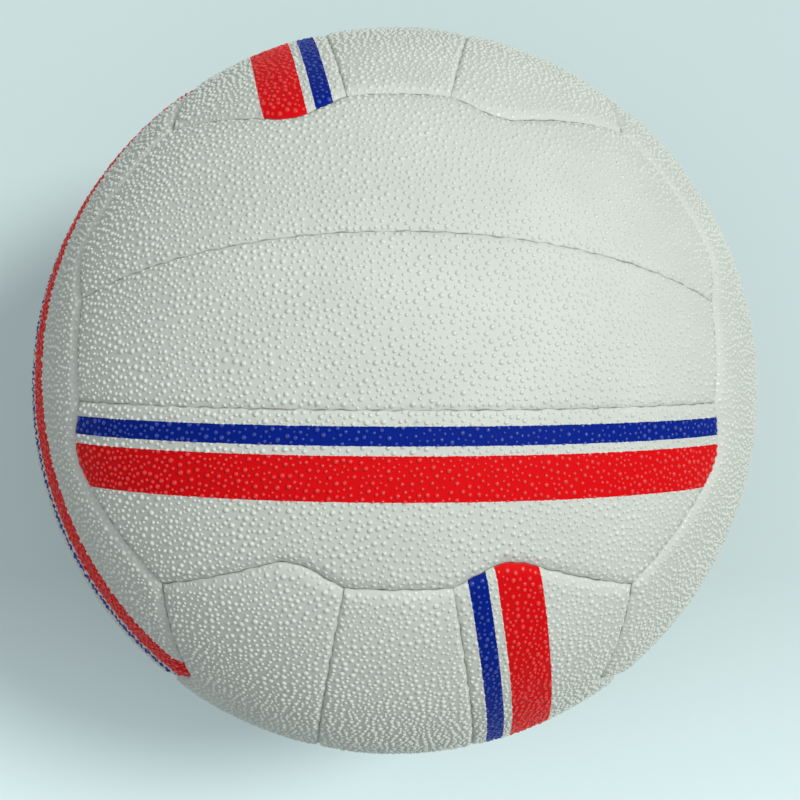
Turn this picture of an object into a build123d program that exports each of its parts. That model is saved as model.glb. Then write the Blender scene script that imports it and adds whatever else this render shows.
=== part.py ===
from build123d import *
import os
from math import atan, atan2, cos, hypot, pi, sin, sqrt, tan

# A netball of eighteen rubber-faced panels, sewn over a bladder with a needle valve.
# The ball is laid out as a cube blown round: six faces of three strips each, and the strips of a
# face run at right angles to those of its neighbours. The origin is the ball's centre, +Z is the
# face seen from above, and the valve is in the middle strip of the back face. All sizes are in mm.

# Whole ball, from the girth that the game's rules give
CIRCUMFERENCE = 700.0

# Layers, from the outside in
COVER_THICKNESS = 1.2
GLUE_GAP = 0.1
LINING_THICKNESS = 1.1
BLADDER_CLEARANCE = 0.2
BLADDER_WALL = 0.6

# Panel edges: turned in towards the bladder, with a rolled rim and a gap where two panels meet
LIP_THICKNESS = 1.2
RIM_RADIUS = 1.8
SEAM_GAP = 0.8
LINING_CLEARANCE = 0.15

# Middle strip of each face, measured over the ball between its two seams
MIDDLE_STRIP_WIDTH = 46.6

# Ends of the strips, on the flat plane that touches the ball at the middle of a cube edge.
# They pass that edge, and the two outer strips come to a rounded shoulder on either side.
END_OVERHANG = 15.4
SHOULDER_OVERHANG = 23.4
SHOULDER_SPACING = 59.5
SHOULDER_RADIUS = 13.9

# Thread sunk in the seams, between the turned-in edges
THREAD_THICKNESS = 0.5
THREAD_CLEARANCE = 0.15
THREAD_END_GAP = 0.2

# Valve
VALVE_HOLE_DIAMETER = 8.0
VALVE_CLEARANCE = 0.2
VALVE_RECESS = 0.3
STEM_DIAMETER = 11.0
STEM_END_WALL = 3.0
FLANGE_DIAMETER = 28.0
FLANGE_THICKNESS = 1.4
CORE_DIAMETER = 5.0
CORE_LENGTH = 14.0
CORE_CLEARANCE = 0.1
CORE_END_WALL = 3.2
NEEDLE_BORE_DIAMETER = 2.4
NEEDLE_LEAD_IN = 0.4
NEEDLE_LEAD_IN_ANGLE = 90

# Radii of the layers
ball_radius = CIRCUMFERENCE / (2 * pi)
skin_inner = ball_radius - COVER_THICKNESS
lining_outer = skin_inner - GLUE_GAP
lining_inner = lining_outer - LINING_THICKNESS
bladder_outer = lining_inner - BLADDER_CLEARANCE
bladder_inner = bladder_outer - BLADDER_WALL
thread_inner = lining_inner + THREAD_CLEARANCE
thread_outer = thread_inner + THREAD_THICKNESS
thread_width = SEAM_GAP - 2 * THREAD_CLEARANCE
thread_trim = thread_width / 2 + THREAD_END_GAP

# Places along the valve's axis, from the ball's centre. The stem's flat top clears the round skin.
flange_outer = bladder_inner - GLUE_GAP
stem_radius = STEM_DIAMETER / 2
stem_hole_radius = stem_radius + VALVE_CLEARANCE
stem_top = sqrt(skin_inner**2 - stem_radius**2) - VALVE_CLEARANCE
core_top = ball_radius - VALVE_RECESS
core_bottom = stem_top - CORE_LENGTH
core_radius = CORE_DIAMETER / 2
stem_bottom = core_bottom - CORE_CLEARANCE - STEM_END_WALL
needle_bore_radius = NEEDLE_BORE_DIAMETER / 2
needle_bore_depth = core_top - core_bottom - CORE_END_WALL

# Seam layout, as directions from the ball's centre
half_strip_angle = MIDDLE_STRIP_WIDTH / 2 / ball_radius
overhang_angle = atan(END_OVERHANG / ball_radius)
strip_end_angle = atan(tan(pi / 4 + overhang_angle) * cos(half_strip_angle))
shoulder_half = SHOULDER_SPACING / 2
corner_half = ball_radius / sqrt(2)
strip_seam_half = (ball_radius - END_OVERHANG) / sqrt(2) * tan(half_strip_angle)

# A rounding takes at most this share of the edge that it is rolled on
ROUNDING_SHARE = 0.85
rim_radius = min(RIM_RADIUS, ROUNDING_SHARE * (ball_radius - lining_inner))
shoulder_rise = SHOULDER_OVERHANG - END_OVERHANG
shoulder_run = shoulder_half - strip_seam_half
shoulder_turn = atan2(shoulder_rise, shoulder_run) + atan2(SHOULDER_OVERHANG, corner_half - shoulder_half)
shoulder_room = hypot(shoulder_rise, shoulder_run) / tan(abs(shoulder_turn) / 2)
shoulder_radius = min(SHOULDER_RADIUS, ROUNDING_SHARE * shoulder_room)

# Cutters start at the ball's centre and end this many radii out
CUTTER_REACH = 1.2

# The poles of the spheres lie on Y, clear of the panels that are cut from the +Z face
POLES_ALONG_Y = (90, 0, 0)

FACES = {
    "top": Plane((0, 0, 0), x_dir=(1, 0, 0), z_dir=(0, 0, 1)),
    "bottom": Plane((0, 0, 0), x_dir=(1, 0, 0), z_dir=(0, 0, -1)),
    "right": Plane((0, 0, 0), x_dir=(0, 1, 0), z_dir=(1, 0, 0)),
    "left": Plane((0, 0, 0), x_dir=(0, 1, 0), z_dir=(-1, 0, 0)),
    "back": Plane((0, 0, 0), x_dir=(0, 0, 1), z_dir=(0, 1, 0)),
    "front": Plane((0, 0, 0), x_dir=(0, 0, 1), z_dir=(0, -1, 0)),
}
VALVE_FACE = "back"

UPWARDS = (Align.CENTER, Align.CENTER, Align.MIN)
DOWNWARDS = (Align.CENTER, Align.CENTER, Align.MAX)

os.makedirs("parts", exist_ok=True)


def strip_seam(width, side, end_angle):
    """A flat wall along the seam between a middle strip and the outer strip on one side of it."""
    seam_normal = (0, -cos(half_strip_angle), side * sin(half_strip_angle))
    reach = CUTTER_REACH * ball_radius
    end_x = reach * sin(end_angle)
    end_y = reach * cos(end_angle)
    with BuildPart() as wall:
        with BuildSketch(Plane((0, 0, 0), x_dir=(1, 0, 0), z_dir=seam_normal)):
            with BuildLine():
                Polyline((-end_x, end_y), (0, 0), (end_x, end_y))
                ThreePointArc((end_x, end_y), (0, reach), (-end_x, end_y))
            make_face()
        extrude(amount=width / 2, both=True)
    return wall.part


def edge_seam(width, edge_plane, trim):
    """A wall along the seam round a cube edge, from corner to corner by way of both shoulders."""
    half_outline = [
        (strip_seam_half, END_OVERHANG),
        (shoulder_half, SHOULDER_OVERHANG),
        (corner_half - trim, trim * SHOULDER_OVERHANG / (corner_half - shoulder_half)),
    ]
    outline = [(-x, y) for x, y in reversed(half_outline)] + half_outline
    rounding = shoulder_radius * CUTTER_REACH
    with BuildPart() as wall:
        with BuildSketch(edge_plane.offset(CUTTER_REACH * ball_radius)) as strip:
            with BuildLine():
                FilletPolyline(
                    [(x * CUTTER_REACH, y * CUTTER_REACH) for x, y in outline],
                    radius=[rounding, 0, 0, rounding],
                )
            trace(line_width=width * CUTTER_REACH)
        loft(sections=[strip.sketch.face(), Vertex(0, 0, 0)], ruled=True)
    return wall.part


# Cube edges round the +Z face. Its own strips end at the right and left edges, and at the back
# edge the strips of the back face end.
right_edge = Plane((0, 0, 0), x_dir=(0, -1, 0), z_dir=(1, 0, 1))
left_edge = Plane((0, 0, 0), x_dir=(0, 1, 0), z_dir=(-1, 0, 1))
back_edge = Plane((0, 0, 0), x_dir=(-1, 0, 0), z_dir=(0, 1, 1))


def panel(outer, outer_radius, inner_radius, gap):
    """A middle or outer strip of the +Z face, cut free of a spherical shell along its seams."""
    walls = [
        edge_seam(gap, right_edge, 0),
        edge_seam(gap, left_edge, 0),
        strip_seam(gap, 1, strip_end_angle),
    ]
    if outer:
        walls.append(edge_seam(gap, back_edge, 0))
        heart_angle = (half_strip_angle + pi / 4 - overhang_angle) / 2
    else:
        walls.append(strip_seam(gap, -1, strip_end_angle))
        heart_angle = 0
    heart_radius = (outer_radius + inner_radius) / 2
    with BuildPart() as shell:
        Sphere(outer_radius, rotation=POLES_ALONG_Y)
        Sphere(inner_radius, rotation=POLES_ALONG_Y, mode=Mode.SUBTRACT)
        add(walls, mode=Mode.SUBTRACT)
    heart = (0, heart_radius * sin(heart_angle), heart_radius * cos(heart_angle))
    return shell.solids().sort_by_distance(heart)[0]


def cover(outer):
    """A rubber panel: a skin with a rolled rim and lips turned in round the lining."""
    with BuildPart() as tray:
        add(panel(outer, ball_radius, lining_inner, SEAM_GAP))
        skin = tray.faces().sort_by(SortBy.AREA)[-1]
        fillet(skin.edges(), radius=rim_radius)
        add(
            panel(outer, skin_inner, lining_inner - COVER_THICKNESS, SEAM_GAP + 2 * LIP_THICKNESS),
            mode=Mode.SUBTRACT,
        )
    return tray.part


def lining(outer):
    """The cloth backing that fills a cover between its lips."""
    return panel(outer, lining_outer, lining_inner, SEAM_GAP + 2 * (LIP_THICKNESS + LINING_CLEARANCE))


def face_name(direction):
    """The face that a direction from the ball's centre points at."""
    return max(FACES, key=lambda name: FACES[name].z_dir.dot(direction))


def write(piece, name):
    """Label a finished piece and write its file."""
    piece.label = name
    export_step(piece, f"parts/{name}.step")


# Panels. Each is a cover and its lining, and the valve panel has a hole through both.
shapes = {"middle": (cover(False), lining(False)), "outer": (cover(True), lining(True))}
valve_holes = (VALVE_HOLE_DIAMETER / 2, stem_hole_radius)
for face, plane in FACES.items():
    turned = Plane((0, 0, 0), x_dir=-plane.x_dir, z_dir=plane.z_dir)
    strips = [
        ("middle", "middle", plane),
        (face_name(plane.y_dir), "outer", plane),
        (face_name(turned.y_dir), "outer", turned),
    ]
    for strip, shape, strip_plane in strips:
        for layer, solid, hole in zip(("cover", "lining"), shapes[shape], valve_holes):
            with BuildPart(strip_plane) as piece:
                add(solid)
                if (face, strip) == (VALVE_FACE, "middle"):
                    Cylinder(hole, ball_radius, align=UPWARDS, mode=Mode.SUBTRACT)
            write(piece.part, f"{layer}_{face}_{strip}")

# Seam threads of the +Z face: two along its middle strip, and one round each end of its strips
top_threads = []
for wall in (
    strip_seam(thread_width, 1, strip_end_angle - thread_trim / ball_radius),
    strip_seam(thread_width, -1, strip_end_angle - thread_trim / ball_radius),
    edge_seam(thread_width, right_edge, thread_trim),
    edge_seam(thread_width, left_edge, thread_trim),
):
    with BuildPart() as thread:
        Sphere(thread_outer, rotation=POLES_ALONG_Y)
        Sphere(thread_inner, rotation=POLES_ALONG_Y, mode=Mode.SUBTRACT)
        add(wall, mode=Mode.INTERSECT)
    top_threads.append(thread.part)

for face, plane in FACES.items():
    with BuildPart(plane) as threads:
        add(top_threads)
    write(threads.part, f"seam_thread_{face}")

# Bladder, open where the valve stem passes through it
valve_plane = FACES[VALVE_FACE]
with BuildPart(valve_plane) as bladder:
    Sphere(bladder_outer)
    Sphere(bladder_inner, mode=Mode.SUBTRACT)
    Cylinder(stem_hole_radius, ball_radius, align=UPWARDS, mode=Mode.SUBTRACT)
write(bladder.part, "bladder")

# Valve stem: a flange that follows the inside of the bladder, and a tube with a closed end
with BuildPart(valve_plane) as valve_stem:
    Sphere(flange_outer)
    Sphere(flange_outer - FLANGE_THICKNESS, mode=Mode.SUBTRACT)
    Cylinder(FLANGE_DIAMETER / 2, ball_radius, align=UPWARDS, mode=Mode.INTERSECT)
    with Locations((0, 0, stem_bottom)):
        Cylinder(stem_radius, stem_top - stem_bottom, align=UPWARDS)
    with Locations((0, 0, stem_top)):
        Hole(core_radius + CORE_CLEARANCE, CORE_LENGTH + CORE_CLEARANCE)
write(valve_stem.part, "valve_stem")

# Valve core: a plug in the stem, whose head fills the hole in the cover and takes the needle
with BuildPart(valve_plane) as valve_core:
    with Locations((0, 0, stem_top)):
        Cylinder(core_radius, CORE_LENGTH, align=DOWNWARDS)
        Cylinder(VALVE_HOLE_DIAMETER / 2 - VALVE_CLEARANCE, core_top - stem_top, align=UPWARDS)
    with Locations((0, 0, core_top)):
        CounterSinkHole(
            needle_bore_radius,
            needle_bore_radius + NEEDLE_LEAD_IN,
            needle_bore_depth,
            NEEDLE_LEAD_IN_ANGLE,
        )
write(valve_core.part, "valve_core")
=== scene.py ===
"""The looks of the netball: eighteen pimpled rubber panels sewn together, printed with plain bands."""

import math

import bpy
import numpy as np
from mathutils import Matrix, Vector
from mathutils.geometry import delaunay_2d_cdt


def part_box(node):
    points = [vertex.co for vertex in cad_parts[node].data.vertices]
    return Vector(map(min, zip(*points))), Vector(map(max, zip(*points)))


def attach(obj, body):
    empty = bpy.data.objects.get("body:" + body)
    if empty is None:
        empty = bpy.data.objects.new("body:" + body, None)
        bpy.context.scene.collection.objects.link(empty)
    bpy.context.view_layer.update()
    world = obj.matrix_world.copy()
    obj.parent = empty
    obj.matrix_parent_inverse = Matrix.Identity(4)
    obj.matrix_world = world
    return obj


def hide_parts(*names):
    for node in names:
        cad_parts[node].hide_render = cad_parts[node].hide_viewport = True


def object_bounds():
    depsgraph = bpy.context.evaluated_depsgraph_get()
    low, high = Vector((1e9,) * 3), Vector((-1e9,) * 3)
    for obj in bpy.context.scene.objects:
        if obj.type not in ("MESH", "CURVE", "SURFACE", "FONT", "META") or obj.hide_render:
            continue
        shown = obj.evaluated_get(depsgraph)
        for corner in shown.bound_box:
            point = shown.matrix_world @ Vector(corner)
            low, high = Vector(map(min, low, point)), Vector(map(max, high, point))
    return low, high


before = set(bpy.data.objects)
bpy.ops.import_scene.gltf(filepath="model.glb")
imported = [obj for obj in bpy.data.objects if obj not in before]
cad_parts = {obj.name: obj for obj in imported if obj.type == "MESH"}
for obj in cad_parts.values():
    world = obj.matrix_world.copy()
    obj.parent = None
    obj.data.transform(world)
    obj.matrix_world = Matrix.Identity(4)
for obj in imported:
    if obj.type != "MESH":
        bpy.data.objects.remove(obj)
cad_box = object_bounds()

MM = 0.001
FULL_TURN = 2 * math.pi


def linear(red, green, blue):
    """A colour that is written as it shows on screen, from 0 to 255, by the sRGB curve."""
    shares = [channel / 255 for channel in (red, green, blue)]
    return (*(s / 12.92 if s <= 0.04045 else ((s + 0.055) / 1.055) ** 2.4 for s in shares), 1.0)


# Seam layout: the strips of a face, and their ends on the plane that touches the ball at a cube edge
STRIP_WIDTH = 46.6 * MM
END_OVERHANG = 15.4 * MM
SHOULDER_OVERHANG = 23.4 * MM
SHOULDER_SPACING = 59.5 * MM
SHOULDER_RADIUS = 13.9 * MM

# Seams wander off their line, in waves that die out towards the ends of each run
SEAM_STEP = 1.0 * MM
SEAM_WANDER = 0.2 * MM
WANDER_WAVES = (9.1 * MM, 5.3 * MM)
WANDER_TAPER = 6.0 * MM

# Panel edges: half the gap between two panels, how far it wanders, and how the rim rolls down to it.
# Each kind of edge has its half gap, the depth of its rim and the width that the rim takes.
GAP_WANDER = 0.8
GAP_WAVES = (6.7 * MM, 3.7 * MM)
RIM_ROUNDNESS = 1.7
PUFF_DEPTH = 0.15 * MM
PUFF_WIDTH = 12.0 * MM
PUFF_ROUNDNESS = 2
EDGES = {
    "strip": {"gap": 0.03 * MM, "depth": 0.6 * MM, "width": 1.9 * MM},
    "end": {"gap": 0.06 * MM, "depth": 1.1 * MM, "width": 3.4 * MM},
    "hole": {"gap": 0.0, "depth": 0.5 * MM, "width": 1.6 * MM},
}
RIM_RINGS = (0.15 * MM, 0.35 * MM, 0.65 * MM, 1.1 * MM, 1.7 * MM, 2.5 * MM)

# Hole in the cover round the valve's head
VALVE_CLEARANCE = 0.2 * MM
HOLE_STEP = 0.5 * MM

# Underside of a panel: a lip turned in along the seams, which draws back from them as it goes down,
# and a skin over the lining
LIP_DEPTH = 2.4 * MM
LIP_GAP = 0.35 * MM
LIP_WIDTH = 1.2 * MM
LIP_FOOT = 0.15 * MM
SKIN_DEPTH = 1.25 * MM
UNDERSIDE_STEP = 5.0 * MM

# Seam threads: their radius and sides, how deep they lie, and the stitches that sway from lip to lip
THREAD_RADIUS = 0.14 * MM
THREAD_SIDES = 6
THREAD_DEPTH = 2.2 * MM
STITCH_LENGTH = 5.0 * MM
STITCH_SWAY = 0.1 * MM

# Pimples: radii and heights of the smallest and the largest, the ground kept clear between two of them,
# how many darts are thrown on each square metre, and the waves in which their size changes over a panel
PIMPLE_RADII = (0.40 * MM, 0.82 * MM)
PIMPLE_HEIGHTS = (0.36 * MM, 0.60 * MM)
PIMPLE_GAP = 0.42 * MM
PIMPLE_DARTS = 8.0 / MM**2
PIMPLE_PATCH = 34.0 * MM
PIMPLE_PATCHINESS = 0.4
LAYOUT_SEED = 7

# Pimples on the mesh: the ground kept clear of them at the edges, and of other points round them, their
# sides and rings, and the share of their height that is left at a panel's end, whole again past the fade
PIMPLE_EDGE_GAP = 0.05 * MM
PIMPLE_CLEARANCE = 0.15 * MM
PIMPLE_SIDES = 9
PIMPLE_RINGS = (1.0, 0.82, 0.5)
PIMPLE_FADE = 0.3
PIMPLE_FADE_WIDTH = 2.5 * MM

# Meshing: how near a ring's points keep to its distance, how near two points merge, what is triangulated,
# and the angle past which an edge is sharp
RING_TOLERANCE = 0.95
MERGE_DISTANCE = 1e-8
WHOLE_HULL = 0
SHARP_ANGLE = math.radians(70)

# Texture map of a panel: its margin, and the heights that the skin and the underside take
MAP_MARGIN = 0.005
SKIN_MAP = (0.0, 0.80)
UNDERSIDE_MAP = (0.82, 0.99)

# Printed bands, measured from the strip seam: middle and half width, and how ragged they are.
# Each ink has its fresh colour and a lighter one on the pimples' tops, worn and with a painted highlight,
# which it takes by these shares.
RED_BAND = (17.5 * MM, 6.0 * MM)
BLUE_BAND = (6.5 * MM, 2.5 * MM)
BAND_RAGGEDNESS = 0.25 * MM
RED_INK = (linear(228, 14, 20), linear(240, 60, 48))
BLUE_INK = (linear(4, 36, 140), linear(36, 70, 184))
INK_WEAR_AND_SHEEN = (0.1, 0.8)
PRINTED = ("top_front", "right_bottom", "back_left", "bottom_back", "left_top", "front_right")

# Cover rubber: white with grey clouds, with painted shade in the valleys up to a share of the pimples'
# height, and painted shade beside the seams
WHITE_RUBBER = linear(222, 230, 218)
GREY_RUBBER = linear(216, 224, 212)
VALLEY_SHADE_COLOUR = linear(206, 214, 203)
VALLEY_SHADE = 0.35
VALLEY_TOP = 0.6
# Painted shade beside the seams: its colour, how far it reaches and the shares of its patches
SEAM_SHADE_COLOUR = linear(118, 116, 106)
SEAM_SHADE_WIDTH = 0.35 * MM
SEAM_SHADE_SHARES = (0.05, 0.75)

# How rough the cover rubber is, how much smoother the pimples' tops are, and how much it mirrors its
# surroundings between the pimples and on top of them
COVER_ROUGHNESS = (0.44, 0.58)
PIMPLE_POLISH = 0.26
COVER_SHINE = (0.06, 0.85)

# The other pieces: dark and pale colours, and the range of their roughness
LINING_COLOURS = (linear(176, 170, 156), linear(224, 220, 208))
LINING_ROUGHNESS = (0.80, 0.95)
# The thread's colours are darkened as painted shade of the grooves that it lies in
SHADED_THREAD_COLOURS = (linear(96, 96, 92), linear(146, 145, 138))
THREAD_ROUGHNESS = (0.55, 0.75)
BLADDER_COLOURS = (linear(30, 30, 32), linear(52, 52, 54))
BLADDER_ROUGHNESS = (0.35, 0.55)
VALVE_COLOURS = (linear(38, 38, 40), linear(66, 66, 68))
VALVE_ROUGHNESS = (0.45, 0.65)

# Noise in the materials: features to the metre, and the levels where it begins to show and shows in full
NOISE_DETAIL = 4.0
CLOUD_NOISE = (45, 0.35, 0.65)
WEAR_AND_SHEEN_NOISE = (900, 0.35, 0.7)
RAGGED_NOISE = (1500, 0.0, 1.0)
SEAM_SHADE_NOISE = (330, 0.4, 0.62)
MATT_NOISE = (260, 0.3, 0.7)
CLOTH_NOISE = (700, 0.3, 0.7)
TWIST_NOISE = (1800, 0.3, 0.7)
BLOOM_NOISE = (160, 0.35, 0.7)

# The mix node's sockets for colours: the share and the two colours, and the mixed one
MIX_INPUTS = (0, 6, 7)
MIX_OUTPUT = 2

# Grain and weave: features to the metre, and the strength and depth of the bumps that they make
COVER_GRAIN = 5200
COVER_BUMP = (0.22, 0.05 * MM)
MOULD_GRAIN = 2600
MOULD_BUMP = (0.25, 0.08 * MM)
LINING_YARNS = 420
LINING_BUMP = (0.5, 0.15 * MM)
THREAD_BUMP = (0.6, 0.1 * MM)

# Floor: half its side, its colours where it is seen, and its colour for the light that it throws back
FLOOR_REACH = 12.0
FLOOR_CLOUDS = 6
FLOOR_COLOURS = (linear(195, 215, 211), linear(198, 218, 213))
FLOOR_BOUNCE = linear(120, 132, 130)
FLOOR_ROUGHNESS = 0.9
FLOOR_SHINE = 0.1

# How much the floor is lifted where it is seen, as a share of white: all round and in the painted pool of
# light in front, which begins and is full at these places along Y, and is full and ends at these distances
# from the ball
FLOOR_GLOW = linear(205, 228, 232)
FLOOR_LIFT = (0.105, 0.38)
LIGHT_POOL_FRONT = (-0.05, -0.155)
LIGHT_POOL_REACH = (0.25, 0.9)

# Light: a soft lamp, the world's strength at the horizon and overhead, and the backdrop that it shows
KEY_DIRECTION = (0.54, 0.10, 0.83)
KEY_ANGLE = math.radians(15.7)
KEY_STRENGTH = 1.75
WORLD_COLOUR = (1.03, 1.0, 1.08, 1.0)
WORLD_STRENGTH = (0.03, 0.73)
BACKDROP_COLOUR = linear(206, 226, 225)

# Camera, as the photograph was taken: from above, a little in front
CAMERA_DISTANCE = 525.3 * MM
CAMERA_DIRECTION = (-0.0115, -0.1647, 0.9863)
CAMERA_AIM = (1.6 * MM, -2.8 * MM, -0.4 * MM)
CAMERA_UP = (0, 1, 0)
CAMERA_LENS = 75.5
CAMERA_SENSOR = 36.0

ball_radius = cad_box[1].z
base_radius = ball_radius - PIMPLE_HEIGHTS[1]
half_strip = STRIP_WIDTH / 2 / ball_radius
outer_heart = (half_strip + math.pi / 4 - math.atan(END_OVERHANG / ball_radius)) / 2
valve_low, valve_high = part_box("valve_core")
valve_hole = (valve_high.x - valve_low.x) / 2 + VALVE_CLEARANCE

# Faces of the cube that the ball is blown from: along the strips, across them, and out
FACES = {
    "top": ((1, 0, 0), (0, 1, 0), (0, 0, 1)),
    "bottom": ((1, 0, 0), (0, -1, 0), (0, 0, -1)),
    "right": ((0, 1, 0), (0, 0, 1), (1, 0, 0)),
    "left": ((0, 1, 0), (0, 0, -1), (-1, 0, 0)),
    "back": ((0, 0, 1), (1, 0, 0), (0, 1, 0)),
    "front": ((0, 0, 1), (-1, 0, 0), (0, -1, 0)),
}

# Cube edges round the +Z face: middle of the edge, along it, and the way that the strip ends pass it
RIGHT_EDGE = (Vector((1, 0, 1)).normalized(), Vector((0, 1, 0)), Vector((1, 0, -1)).normalized())
LEFT_EDGE = (Vector((-1, 0, 1)).normalized(), Vector((0, 1, 0)), Vector((-1, 0, -1)).normalized())
BACK_EDGE = (Vector((0, 1, 1)).normalized(), Vector((1, 0, 0)), Vector((0, -1, 1)).normalized())


# Panel outlines, as directions from the ball's centre

def rounded(before, corner, after, radius):
    """Points of a corner rounded by an arc, from one straight run to the next."""
    back = (before - corner).normalized()
    ahead = (after - corner).normalized()
    half_angle = back.angle(ahead) / 2
    centre = corner + (back + ahead).normalized() * radius / math.sin(half_angle)
    first = corner + back * radius / math.tan(half_angle) - centre
    last = corner + ahead * radius / math.tan(half_angle) - centre
    steps = math.ceil(first.angle(last) * radius * ball_radius / SEAM_STEP)
    return [centre + radius * first.slerp(last, step / steps) for step in range(steps + 1)]


def half_end():
    """Half the seam round a strip end, from the strip seam to the cube corner, in radii."""
    overhang = END_OVERHANG / ball_radius
    seam = Vector(((1 - overhang) / math.sqrt(2) * math.tan(half_strip), overhang))
    shoulder = Vector((SHOULDER_SPACING / 2, SHOULDER_OVERHANG)) / ball_radius
    corner = Vector((1 / math.sqrt(2), 0))
    return [seam, *rounded(seam, shoulder, corner, SHOULDER_RADIUS / ball_radius), corner]


def on_edge(edge, side, points):
    """Directions of points beside a cube edge, on one side of its middle."""
    middle, along, out = edge
    return [(middle + side * point.x * along + point.y * out).normalized() for point in points]


def mean_wave(lengths, waves):
    """The mean of some sine waves, at lengths along a line."""
    return sum(np.sin(FULL_TURN * lengths / wave) for wave in waves) / len(waves)


def sideways(run):
    """The way across a run of directions, at each of them."""
    across = np.cross(run, np.gradient(run, axis=0))
    return across / np.linalg.norm(across, axis=1)[:, None]


def wandering(run):
    """A run of directions moved to and fro across its line, alike from either end."""
    steps = np.linalg.norm(np.diff(run, axis=0), axis=1) * ball_radius
    lengths = np.append(0, np.cumsum(steps))
    from_middle = lengths - lengths[-1] / 2
    taper = np.clip((lengths[-1] / 2 - np.abs(from_middle)) / WANDER_TAPER, 0, 1)
    moves = SEAM_WANDER / ball_radius * mean_wave(from_middle, WANDER_WAVES) * taper
    return run + sideways(run) * moves[:, None]


def sampled(corners):
    """Directions along a run of great-circle arcs, a step apart."""
    run = []
    for start, end in zip(corners, corners[1:]):
        steps = math.ceil(start.angle(end) * ball_radius / SEAM_STEP)
        run += [start.slerp(end, step / steps) for step in range(steps)]
    return wandering(np.array([*run, corners[-1]]))


def outline(runs):
    """Closed outline of a panel and the kind of each of its steps, from runs of great-circle arcs."""
    points = [sampled(corners)[:-1] for _, corners in runs]
    kinds = [np.repeat(kind, len(run)) for (kind, _), run in zip(runs, points)]
    return np.concatenate(points), np.concatenate(kinds)


def middle_outline():
    """The middle strip of the +Z face, counterclockwise."""
    seam = half_end()[:1]
    right_low, right_high = (on_edge(RIGHT_EDGE, side, seam)[0] for side in (-1, 1))
    left_low, left_high = (on_edge(LEFT_EDGE, side, seam)[0] for side in (-1, 1))
    return outline([
        ("strip", [left_low, right_low]),
        ("end", [right_low, right_high]),
        ("strip", [right_high, left_high]),
        ("end", [left_high, left_low]),
    ])


def outer_outline():
    """The outer strip of the +Z face on its +Y side, counterclockwise."""
    half = half_end()
    right = on_edge(RIGHT_EDGE, 1, half)
    left = on_edge(LEFT_EDGE, 1, half)
    back_right = on_edge(BACK_EDGE, 1, half)
    back_left = on_edge(BACK_EDGE, -1, half)
    return outline([
        ("strip", [left[0], right[0]]),
        ("end", right),
        ("end", back_right[::-1]),
        ("end", [back_right[0], back_left[0]]),
        ("end", back_left),
        ("end", left[::-1]),
    ])


# Flat charts: a panel turned so that its heart is the pole, then unrolled

def turn_about_x(directions, angle):
    x, y, z = directions.T
    turned = (x, y * math.cos(angle) - z * math.sin(angle), y * math.sin(angle) + z * math.cos(angle))
    return np.stack(turned, axis=1)


def flatten(directions, heart):
    x, y, z = turn_about_x(directions, heart).T
    return ball_radius * np.stack((np.arctan2(x, z), np.arcsin(y)), axis=1)


def raise_up(flat, heart):
    along, across = (flat / ball_radius).T
    upright = (np.sin(along) * np.cos(across), np.sin(across), np.cos(along) * np.cos(across))
    return turn_about_x(np.stack(upright, axis=1), -heart)


def circle(sides, start=0.0):
    """Points round a circle of radius one, counterclockwise from an angle."""
    turns = start + FULL_TURN * np.arange(sides) / sides
    return np.stack((np.cos(turns), np.sin(turns)), axis=1)


def inset(loop, distances):
    """A closed loop moved in by a distance at each of its points."""
    before = loop - np.roll(loop, 1, axis=0)
    after = np.roll(loop, -1, axis=0) - loop
    normals = []
    for run in (before, after):
        run /= np.linalg.norm(run, axis=1)[:, None]
        normals.append(np.stack((-run[:, 1], run[:, 0]), axis=1))
    mean = normals[0] + normals[1]
    mitre = 2 / np.sum(mean * mean, axis=1)
    return loop + mean * (mitre * distances)[:, None]


def distance_to(points, starts, ends):
    """Distance from each point to the nearest of some straight runs."""
    nearest = np.full(len(points), np.inf)
    for start, run in zip(starts, ends - starts):
        share = np.clip((points - start) @ run / (run @ run), 0, 1)
        across = points - start - share[:, None] * run
        nearest = np.minimum(nearest, np.hypot(across[:, 0], across[:, 1]))
    return nearest


def inside(points, loop):
    """Which points lie in a closed loop, by the runs that a line from each of them crosses."""
    crossed = np.zeros(len(points), int)
    x, y = points.T
    for start, end in zip(loop, np.roll(loop, -1, axis=0)):
        if start[1] != end[1]:
            reach = start[0] + (y - start[1]) * (end[0] - start[0]) / (end[1] - start[1])
            crossed += ((start[1] > y) != (end[1] > y)) & (x < reach)
    return crossed % 2 == 1


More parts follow.
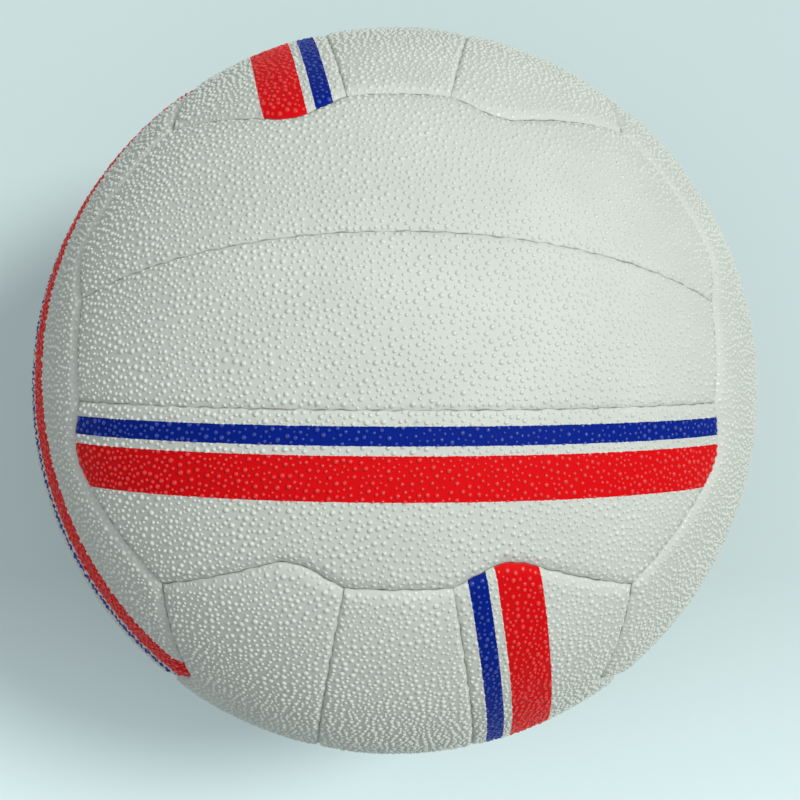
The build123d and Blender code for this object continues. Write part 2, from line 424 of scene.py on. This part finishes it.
class Chart:
    """A panel laid flat: its edge loops, and how deep its rim is at any point."""

    def __init__(self, directions, kinds, heart, hole_radius, undercut=0.0):
        self.hole_radius = hole_radius
        waves = mean_wave(np.arange(len(kinds)) * SEAM_STEP, GAP_WAVES)
        gaps = np.array([EDGES[kind]["gap"] for kind in kinds])
        self.loops = [inset(flatten(directions, heart), gaps * (1 + GAP_WANDER * waves) + undercut)]
        self.kinds = [kinds]
        if hole_radius:
            steps = math.ceil(FULL_TURN * hole_radius / HOLE_STEP)
            clockwise = circle(steps) * (1, -1)
            self.loops.append(hole_radius * clockwise)
            self.kinds.append(np.repeat("hole", steps))

    def limits(self):
        """The low and the high corner of the chart."""
        return self.loops[0].min(axis=0), self.loops[0].max(axis=0)

    def steps(self):
        """Both ends of each step of the loops, as numbers in the list of the loops' points."""
        starts = []
        ends = []
        count = 0
        for loop in self.loops:
            numbers = count + np.arange(len(loop))
            starts.append(numbers)
            ends.append(np.roll(numbers, -1))
            count += len(loop)
        return np.concatenate(starts), np.concatenate(ends)

    def on_panel(self, points):
        """Which points lie on the panel."""
        past_hole = np.hypot(points[:, 0], points[:, 1]) > self.hole_radius
        return inside(points, self.loops[0]) & past_hole

    def edge_distances(self, points):
        """Distance from each point to the nearest edge of each kind."""
        corners = np.concatenate(self.loops)
        starts, ends = (corners[numbers] for numbers in self.steps())
        kinds = np.concatenate(self.kinds)
        return {
            kind: distance_to(points, starts[kinds == kind], ends[kinds == kind])
            for kind in np.unique(kinds)
        }

    def rim_depth(self, distances):
        """How far the rim has rolled down at each point, from its distances to the edges."""
        depths = []
        for kind, distance in distances.items():
            left = np.clip(1 - distance / EDGES[kind]["width"], 0, 1)
            depths.append(EDGES[kind]["depth"] * left**RIM_ROUNDNESS)
        nearest = np.min(list(distances.values()), axis=0)
        puff = PUFF_DEPTH * np.clip(1 - nearest / PUFF_WIDTH, 0, 1) ** PUFF_ROUNDNESS
        return np.max(depths, axis=0) + puff

    def room(self, points):
        """Distance from each point to the nearest edge, and none where it lies off the panel."""
        nearest = np.min(list(self.edge_distances(points).values()), axis=0)
        return np.where(self.on_panel(points), nearest, 0)

    def ring(self, distance):
        """Points at one distance from the edges."""
        points = np.concatenate([inset(loop, np.full(len(loop), distance)) for loop in self.loops])
        return points[self.room(points) > RING_TOLERANCE * distance]

    def triangles(self, points):
        """All points of the panel, its loops' first, and the triangles on them as numbers in that list."""
        edges = list(zip(*(numbers.tolist() for numbers in self.steps())))
        corners = np.concatenate((*self.loops, points))
        places = [Vector(corner) for corner in corners]
        _, _, found, origins, _, _ = delaunay_2d_cdt(places, edges, [], WHOLE_HULL, MERGE_DISTANCE)
        source = np.array([numbers[0] for numbers in origins])
        faces = source[np.array(found)]
        return corners, faces[self.on_panel(corners[faces].mean(axis=1))]


# Pimples

def grid_cell(x, y, size):
    """The cell of a square grid that a point lies in."""
    return int(x // size), int(y // size)


def near_cell(taken, cell):
    """What lies in a cell of the grid and in the eight round it."""
    column, row = cell
    cells = [(i, j) for i in (column - 1, column, column + 1) for j in (row - 1, row, row + 1)]
    return [other for near in cells for other in taken.get(near, ())]


def throw_pimples(chart, random):
    """Centres and radii of the pimples: darts that land clear of the edges and of the pimples before them."""
    low, high = chart.limits()
    count = int(PIMPLE_DARTS * np.prod(high - low))
    darts = random.uniform(low, high, (count, 2))
    swell = PIMPLE_PATCHINESS * np.sin(FULL_TURN * darts / PIMPLE_PATCH).prod(axis=1)
    radii = np.interp(random.uniform(-1, 1, count) + swell, (-1, 1), PIMPLE_RADII)
    fits = chart.room(darts) > radii + PIMPLE_EDGE_GAP
    size = 2 * PIMPLE_RADII[1] + PIMPLE_GAP
    taken = {}
    pimples = []
    for x, y, radius in zip(*darts[fits].T.tolist(), radii[fits].tolist()):
        cell = grid_cell(x, y, size)
        near = near_cell(taken, cell)
        if all(math.hypot(x - u, y - v) > radius + r + PIMPLE_GAP for u, v, r in near):
            taken.setdefault(cell, []).append((x, y, radius))
            pimples.append((x, y, radius))
    return pimples


def pimple_points(pimples, random):
    """Points of the pimples, as round caps: rings from the foot up, and the top.

    Each has its height above the ground, its share of the pimple's height and, at the foot, the pimple's
    number.
    """
    points = []
    heights = []
    shares = []
    feet = []
    for number, (x, y, radius) in enumerate(pimples, start=1):
        top = np.interp(radius, PIMPLE_RADII, PIMPLE_HEIGHTS)
        sphere = (radius**2 + top**2) / (2 * top)
        section = circle(PIMPLE_SIDES, random.uniform(0, FULL_TURN))
        for ring in PIMPLE_RINGS:
            reach = ring * radius
            height = math.sqrt(sphere**2 - reach**2) - sphere + top
            points.append(np.array((x, y)) + reach * section)
            heights += [height] * PIMPLE_SIDES
            shares += [height / top] * PIMPLE_SIDES
            feet += [number if ring == PIMPLE_RINGS[0] else 0] * PIMPLE_SIDES
        points.append(np.array([[x, y]]))
        heights.append(top)
        shares.append(1.0)
        feet.append(0)
    return np.concatenate(points), np.array(heights), np.array(shares), np.array(feet)


def clear_of(points, pimples):
    """The points that lie outside every pimple."""
    size = PIMPLE_RADII[1] + PIMPLE_CLEARANCE
    taken = {}
    for x, y, radius in pimples:
        taken.setdefault(grid_cell(x, y, size), []).append((x, y, radius + PIMPLE_CLEARANCE))
    kept = []
    for x, y in points.tolist():
        near = near_cell(taken, grid_cell(x, y, size))
        kept.append(all(math.hypot(x - u, y - v) > reach for u, v, reach in near))
    return points[np.array(kept)]


# Panel meshes

def panel_skin(chart, random):
    """The outside of a panel: flat points, triangles, radii, pimple feet, and values for the materials."""
    pimples = throw_pimples(chart, random)
    domes, *dome_values = pimple_points(pimples, random)
    rings = clear_of(np.concatenate([chart.ring(distance) for distance in RIM_RINGS]), pimples)
    points, faces = chart.triangles(np.concatenate((rings, domes)))
    plain = np.zeros(len(points) - len(domes))
    heights, shares, feet = (np.append(plain, values) for values in dome_values)
    distances = chart.edge_distances(points)
    fade = np.interp(distances["end"], (0, PIMPLE_FADE_WIDTH), (PIMPLE_FADE, 1))
    radii = base_radius - chart.rim_depth(distances) + fade * heights
    nearest = np.min(list(distances.values()), axis=0)
    return points, faces, radii, feet, {"pimple": shares, "edge_distance": nearest}


def panel_underside(under, low, high):
    """The inside of a panel: flat points, triangles and radii."""
    grid = np.meshgrid(*(np.arange(start, end, UNDERSIDE_STEP) for start, end in zip(low, high)))
    grid = np.stack([axis.ravel() for axis in grid], axis=1)
    grid = grid[under.room(grid) > 2 * LIP_WIDTH]
    rings = [under.ring(LIP_WIDTH), under.ring(LIP_WIDTH + LIP_FOOT)]
    points, faces = under.triangles(np.concatenate((*rings, grid)))
    seams = under.edge_distances(points)
    on_lip = np.minimum(seams["strip"], seams["end"]) < LIP_WIDTH + LIP_FOOT / 2
    return points, faces, ball_radius - np.where(on_lip, LIP_DEPTH, SKIN_DEPTH)


def edge_walls(chart, skin_count):
    """Triangles from the skin's edges down to the underside's, whose points follow the skin's."""
    starts, ends = chart.steps()
    first = np.stack((starts, skin_count + starts, skin_count + ends), axis=1)
    second = np.stack((starts, skin_count + ends, ends), axis=1)
    return np.concatenate((first, second))


def mark_sharp(mesh, feet):
    """Sharp edges where the skin turns down at the panel's edge, and round the foot of each pimple."""
    mesh.shade_smooth()
    mesh.set_sharp_from_angle(angle=SHARP_ANGLE)
    sharp = np.empty(len(mesh.edges), bool)
    ends = np.empty(2 * len(mesh.edges), np.int32)
    mesh.edges.foreach_get("use_edge_sharp", sharp)
    mesh.edges.foreach_get("vertices", ends)
    first, second = feet[ends.reshape(-1, 2)].T
    mesh.edges.foreach_set("use_edge_sharp", sharp | ((first > 0) & (first == second)))


def set_floats(mesh, name, values):
    attribute = mesh.attributes.new(name, "FLOAT", "POINT")
    attribute.data.foreach_set("value", values.astype(np.float32))


def set_chart_map(mesh, flat, skin_count, low, high):
    """Texture map from the chart, with the underside in a strip of its own."""
    places = MAP_MARGIN + (1 - 2 * MAP_MARGIN) * (flat - low) / (high - low)
    heights = places[:, 1]
    heights[:skin_count] = np.interp(heights[:skin_count], (0, 1), SKIN_MAP)
    heights[skin_count:] = np.interp(heights[skin_count:], (0, 1), UNDERSIDE_MAP)
    corners = np.empty(len(mesh.loops), np.int32)
    mesh.loops.foreach_get("vertex_index", corners)
    chart_map = mesh.uv_layers.new(name="OFBake")
    chart_map.uv.foreach_set("vector", places[corners].astype(np.float32).ravel())


def panel_mesh(name, directions, kinds, heart, hole_radius, seed):
    """A closed rubber panel of the +Z face: pimpled skin, rolled rim, edge walls and underside."""
    chart = Chart(directions, kinds, heart, hole_radius)
    under = Chart(directions, kinds, heart, hole_radius, LIP_GAP)
    skin, skin_faces, skin_radii, feet, values = panel_skin(chart, np.random.default_rng(seed))
    underside, underside_faces, underside_radii = panel_underside(under, *chart.limits())
    flat = np.concatenate((skin, underside))
    radii = np.concatenate((skin_radii, underside_radii))
    turned = len(skin) + underside_faces[:, ::-1]
    faces = np.concatenate((skin_faces, turned, edge_walls(chart, len(skin))))
    places = raise_up(flat, heart)

    mesh = bpy.data.meshes.new(name)
    mesh.from_pydata((places * radii[:, None]).tolist(), [], faces.tolist())
    bare = np.zeros(len(underside))
    mark_sharp(mesh, np.append(feet, bare))
    seam_normal = np.array((0, math.cos(half_strip), -math.sin(half_strip)))
    set_floats(mesh, "strip_across", ball_radius * np.arcsin(places @ seam_normal))
    for value_name, skin_values in values.items():
        set_floats(mesh, value_name, np.append(skin_values, bare))
    set_chart_map(mesh, flat, len(skin), *chart.limits())
    return mesh


# Seam threads

def seam_runs():
    """Directions along the seams that the +Z face's threads sew: two by its middle strip, two at its ends."""
    half = half_end()
    right_low, right_high = (on_edge(RIGHT_EDGE, side, half) for side in (-1, 1))
    left_low, left_high = (on_edge(LEFT_EDGE, side, half) for side in (-1, 1))
    runs = [sampled([left_low[0], right_low[0]]), sampled([left_high[0], right_high[0]])]
    for low, high in ((right_low, right_high), (left_low, left_high)):
        parts = (sampled(low[::-1]), sampled([low[0], high[0]])[1:-1], sampled(high))
        runs.append(np.concatenate(parts))
    return [run[1:-1] for run in runs]


def thread_mesh(name):
    """The threads of the +Z face: round tubes that sway from lip to lip with each stitch."""
    section = THREAD_RADIUS * circle(THREAD_SIDES)
    corners = []
    faces = []
    for run in seam_runs():
        across = sideways(run)
        stitches = np.sin(FULL_TURN * SEAM_STEP * np.arange(len(run)) / STITCH_LENGTH)
        middles = run * (ball_radius - THREAD_DEPTH) + across * (STITCH_SWAY * stitches)[:, None]
        start = len(corners) * THREAD_SIDES
        for middle, up, side in zip(middles, run, across):
            corners.append(middle + section @ np.array((up, side)))
        rings = start + np.arange(len(run) * THREAD_SIDES).reshape(-1, THREAD_SIDES)
        around = np.roll(rings, -1, axis=1)
        quads = np.stack((rings[:-1], around[:-1], around[1:], rings[1:]), axis=2)
        faces += quads.reshape(-1, 4).tolist() + [rings[0, ::-1].tolist(), rings[-1].tolist()]
    mesh = bpy.data.meshes.new(name)
    mesh.from_pydata(np.concatenate(corners).tolist(), [], faces)
    mesh.shade_smooth()
    return mesh


# Nodes of the materials

def new_material(name):
    material = bpy.data.materials.new(name)
    material.use_nodes = True
    return material, material.node_tree, material.node_tree.nodes["Principled BSDF"]


def wire(tree, node, inputs):
    """Set or link a node's inputs, by name or number."""
    for key, value in inputs.items():
        if isinstance(value, bpy.types.NodeSocket):
            tree.links.new(value, node.inputs[key])
        else:
            node.inputs[key].default_value = value


def add_node(tree, kind, inputs=None, **settings):
    """A node with its settings and its inputs."""
    node = tree.nodes.new(kind)
    for setting, value in settings.items():
        setattr(node, setting, value)
    wire(tree, node, inputs or {})
    return node


def object_place(tree):
    return add_node(tree, "ShaderNodeTexCoord").outputs["Object"]


def object_noise(tree, scale):
    """Noise fixed to the object, with as many features to the metre as the scale."""
    inputs = {"Vector": object_place(tree), "Scale": scale, "Detail": NOISE_DETAIL}
    return add_node(tree, "ShaderNodeTexNoise", inputs).outputs["Fac"]


def ranged(tree, value, low, high, start, end):
    """A value from low to high mapped onto start to end."""
    inputs = {"Value": value, "From Min": low, "From Max": high, "To Min": start, "To Max": end}
    return add_node(tree, "ShaderNodeMapRange", inputs).outputs["Result"]


def patches(tree, noise, start, end):
    """Patches of noise from start to end, by the noise's scale and levels."""
    scale, low, high = noise
    return ranged(tree, object_noise(tree, scale), low, high, start, end)


def mixed(tree, share, first, second):
    """Two colours mixed by a share."""
    inputs = dict(zip(MIX_INPUTS, (share, first, second)))
    return add_node(tree, "ShaderNodeMix", inputs, data_type="RGBA").outputs[MIX_OUTPUT]


def math_node(tree, operation, *values):
    return add_node(tree, "ShaderNodeMath", dict(enumerate(values)), operation=operation).outputs[0]


def bumped(tree, height, bump):
    """The surface's normal with a height as bumps, of their own strength and depth."""
    strength, distance = bump
    inputs = {"Height": height, "Strength": strength, "Distance": distance}
    return add_node(tree, "ShaderNodeBump", inputs).outputs["Normal"]


def attribute(tree, name):
    return add_node(tree, "ShaderNodeAttribute", attribute_name=name).outputs["Fac"]


def stage_rays(tree):
    """One for rays that show the floor or the backdrop itself, and none for those that light the ball."""
    path = add_node(tree, "ShaderNodeLightPath")
    seen = math_node(tree, "MAXIMUM", path.outputs["Is Camera Ray"], path.outputs["Is Glossy Ray"])
    return math_node(tree, "MAXIMUM", seen, path.outputs["Is Transmission Ray"])


# Materials

def printed_band(tree, across, band, ink, under):
    """A band of ink between two distances from the strip seam, thinner and lighter on the tops of the
    pimples: worn, with a painted highlight.
    """
    middle, half_width = band
    fresh, worn_and_lit = ink
    mask = math_node(tree, "COMPARE", across, middle, half_width)
    # Worn ink and a painted highlight on the pimples' tops, in patches
    wear_and_sheen = math_node(tree, "MULTIPLY", attribute(tree, "pimple"), patches(tree, WEAR_AND_SHEEN_NOISE, *INK_WEAR_AND_SHEEN))
    return mixed(tree, mask, under, mixed(tree, wear_and_sheen, fresh, worn_and_lit))


def cover_colour(tree, printed):
    """White rubber with painted shade in the valleys and beside the seams, with its bands where it is
    printed.
    """
    colour = mixed(tree, patches(tree, CLOUD_NOISE, 0.0, 1.0), WHITE_RUBBER, GREY_RUBBER)
    # Painted shade in the valleys between the pimples, gone towards their tops
    shaded_valley = ranged(tree, attribute(tree, "pimple"), 0.0, VALLEY_TOP, VALLEY_SHADE, 0.0)
    colour = mixed(tree, shaded_valley, colour, VALLEY_SHADE_COLOUR)
    if printed:
        ragged = patches(tree, RAGGED_NOISE, -BAND_RAGGEDNESS, BAND_RAGGEDNESS)
        across = math_node(tree, "ADD", attribute(tree, "strip_across"), ragged)
        colour = printed_band(tree, across, RED_BAND, RED_INK, colour)
        colour = printed_band(tree, across, BLUE_BAND, BLUE_INK, colour)
    # Painted shade beside the seams, in patches along them
    beside_seam = ranged(tree, attribute(tree, "edge_distance"), 0.0, SEAM_SHADE_WIDTH, 1.0, 0.0)
    seam_shade = math_node(tree, "MULTIPLY", patches(tree, SEAM_SHADE_NOISE, *SEAM_SHADE_SHARES), beside_seam)
    return mixed(tree, seam_shade, colour, SEAM_SHADE_COLOUR)


def cover_rubber(name, printed):
    """Pimpled cover rubber, smoother and shinier on the tops of the pimples."""
    material, tree, shader = new_material(name)
    pimple = attribute(tree, "pimple")
    matt = patches(tree, MATT_NOISE, *COVER_ROUGHNESS)
    polish = math_node(tree, "MULTIPLY", pimple, PIMPLE_POLISH)
    wire(tree, shader, {
        "Base Color": cover_colour(tree, printed),
        "Roughness": math_node(tree, "SUBTRACT", matt, polish),
        "Specular IOR Level": ranged(tree, pimple, 0.0, 1.0, *COVER_SHINE),
        "Normal": bumped(tree, object_noise(tree, COVER_GRAIN), COVER_BUMP),
    })
    return material


def lining_cloth():
    """Poly-cotton backing cloth: a plain weave of off-white yarns."""
    material, tree, shader = new_material("lining_cloth")
    yarns = {"Vector": object_place(tree), "Scale": LINING_YARNS}
    x_yarns, y_yarns, z_yarns = (
        add_node(tree, "ShaderNodeTexWave", yarns, bands_direction=axis).outputs["Fac"]
        for axis in ("X", "Y", "Z")
    )
    weave = math_node(tree, "MAXIMUM", math_node(tree, "MAXIMUM", x_yarns, y_yarns), z_yarns)
    wire(tree, shader, {
        "Base Color": mixed(tree, weave, *LINING_COLOURS),
        "Roughness": patches(tree, CLOTH_NOISE, *LINING_ROUGHNESS),
        "Normal": bumped(tree, weave, LINING_BUMP),
    })
    return material


def seam_thread():
    """Waxed polyester thread, coloured darker as painted shade of the seams' grooves that it lies in."""
    material, tree, shader = new_material("seam_thread")
    scale, low, high = TWIST_NOISE
    twist = object_noise(tree, scale)
    wire(tree, shader, {
        "Base Color": mixed(tree, twist, *SHADED_THREAD_COLOURS),
        "Roughness": ranged(tree, twist, low, high, *THREAD_ROUGHNESS),
        "Normal": bumped(tree, twist, THREAD_BUMP),
    })
    return material


def moulded_rubber(name, colours, roughness):
    """Plain moulded rubber with a fine grain and a dusty bloom."""
    material, tree, shader = new_material(name)
    bloom = patches(tree, BLOOM_NOISE, 0.0, 1.0)
    wire(tree, shader, {
        "Base Color": mixed(tree, bloom, *colours),
        "Roughness": ranged(tree, bloom, 0.0, 1.0, *roughness),
        "Normal": bumped(tree, object_noise(tree, MOULD_GRAIN), MOULD_BUMP),
    })
    return material


def floor_sheet():
    """Plain pale sheet under the ball, with a painted pool of light in front of it where it is seen."""
    material, tree, shader = new_material("floor_sheet")
    seen = stage_rays(tree)
    pale = mixed(tree, object_noise(tree, FLOOR_CLOUDS), *FLOOR_COLOURS)
    place = object_place(tree)
    forwards = add_node(tree, "ShaderNodeSeparateXYZ", {"Vector": place}).outputs["Y"]
    away = add_node(tree, "ShaderNodeVectorMath", {0: place}, operation="LENGTH").outputs["Value"]
    # A painted pool of light on the floor in front of the ball
    in_front = ranged(tree, forwards, *LIGHT_POOL_FRONT, 0.0, 1.0)
    light_pool = math_node(tree, "MULTIPLY", in_front, ranged(tree, away, *LIGHT_POOL_REACH, 1.0, 0.0))
    lift = ranged(tree, light_pool, 0.0, 1.0, *FLOOR_LIFT)
    wire(tree, shader, {
        "Base Color": mixed(tree, seen, FLOOR_BOUNCE, pale),
        "Roughness": FLOOR_ROUGHNESS,
        "Specular IOR Level": FLOOR_SHINE,
        "Emission Color": FLOOR_GLOW,
        "Emission Strength": math_node(tree, "MULTIPLY", seen, lift),
    })
    return material


# Build the panels and the threads

shapes = {
    "middle": panel_mesh("middle", *middle_outline(), 0.0, 0.0, LAYOUT_SEED),
    "outer": panel_mesh("outer", *outer_outline(), outer_heart, 0.0, LAYOUT_SEED + 1),
    "valve": panel_mesh("valve", *middle_outline(), 0.0, valve_hole, LAYOUT_SEED),
    "threads": thread_mesh("threads"),
}
plain_rubber = cover_rubber("cover_rubber", False)
printed_rubber = cover_rubber("printed_rubber", True)
thread = seam_thread()


def add_object(name, data):
    """A new object in the scene."""
    added = bpy.data.objects.new(name, data)
    bpy.context.scene.collection.objects.link(added)
    return added


def face_name(direction):
    """The face that a direction from the ball's centre points at."""
    return max(FACES, key=lambda name: Vector(FACES[name][2]).dot(direction))


def place_piece(name, node, shape, axes, material):
    """A piece of the +Z face turned to its own face, in place of its plain node."""
    mesh = shapes[shape].copy()
    mesh.name = name
    mesh.transform(Matrix(axes).transposed().to_4x4())
    mesh.materials.append(material)
    piece = add_object(name, mesh)
    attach(piece, "root")
    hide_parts(node)


for face, axes in FACES.items():
    along, across, out = (Vector(axis) for axis in axes)
    upright = (along, across, out)
    turned = (-along, -across, out)
    strips = [
        ("middle", "valve" if face == "back" else "middle", upright),
        (face_name(across), "outer", upright),
        (face_name(-across), "outer", turned),
    ]
    for strip, shape, strip_axes in strips:
        name = f"{face}_{strip}"
        rubber = printed_rubber if name in PRINTED else plain_rubber
        place_piece(f"panel_{name}", f"cover_{name}", shape, strip_axes, rubber)
    place_piece(f"thread_{face}", f"seam_thread_{face}", "threads", upright, thread)
for mesh in shapes.values():
    bpy.data.meshes.remove(mesh)

# Finish of the pieces that keep their CAD shape
finishes = {
    "lining": lining_cloth(),
    "bladder": moulded_rubber("bladder_rubber", BLADDER_COLOURS, BLADDER_ROUGHNESS),
    "valve": moulded_rubber("valve_rubber", VALVE_COLOURS, VALVE_ROUGHNESS),
}
for name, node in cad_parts.items():
    kind = name.split("_")[0]
    if kind in finishes:
        node.data.materials.clear()
        node.data.materials.append(finishes[kind])


# Stage: floor, light and camera

def floor_plane():
    """A wide plane under the ball."""
    mesh = bpy.data.meshes.new("floor")
    sides = ((-1, -1), (1, -1), (1, 1), (-1, 1))
    corners = [(x * FLOOR_REACH, y * FLOOR_REACH, cad_box[0].z) for x, y in sides]
    mesh.from_pydata(corners, [], [(0, 1, 2, 3)])
    mesh.materials.append(floor_sheet())
    return add_object("floor", mesh)


def key_light():
    lamp = bpy.data.lights.new("key_light", "SUN")
    lamp.angle = KEY_ANGLE
    lamp.energy = KEY_STRENGTH
    key = add_object("key_light", lamp)
    key.rotation_euler = Vector(KEY_DIRECTION).to_track_quat("Z", "Y").to_euler()


def studio_world():
    """Soft light from overhead, weaker towards the horizon, which shows as a pale backdrop."""
    world = bpy.data.worlds.new("studio")
    world.use_nodes = True
    tree = world.node_tree
    direction = add_node(tree, "ShaderNodeTexCoord").outputs["Generated"]
    height = add_node(tree, "ShaderNodeSeparateXYZ", {"Vector": direction}).outputs["Z"]
    light = tree.nodes["Background"]
    wire(tree, light, {"Color": WORLD_COLOUR, "Strength": ranged(tree, height, 0.0, 1.0, *WORLD_STRENGTH)})
    backdrop = add_node(tree, "ShaderNodeBackground", {"Color": BACKDROP_COLOUR})
    either = {0: stage_rays(tree), 1: light.outputs[0], 2: backdrop.outputs[0]}
    shown = add_node(tree, "ShaderNodeMixShader", either)
    wire(tree, tree.nodes["World Output"], {"Surface": shown.outputs[0]})
    bpy.context.scene.world = world


def photo_camera():
    lens = bpy.data.cameras.new("photo_camera")
    lens.lens = CAMERA_LENS
    lens.sensor_width = CAMERA_SENSOR
    camera = add_object("photo_camera", lens)
    camera.location = Vector(CAMERA_DIRECTION).normalized() * CAMERA_DISTANCE
    sight = (camera.location - Vector(CAMERA_AIM)).normalized()
    right = Vector(CAMERA_UP).cross(sight).normalized()
    camera.rotation_euler = Matrix((right, sight.cross(right), sight)).transposed().to_euler()
    bpy.context.scene.camera = camera


floor = floor_plane()
key_light()
studio_world()
photo_camera()
bpy.context.scene.view_settings.view_transform = "Standard"

bpy.context.view_layer.update()
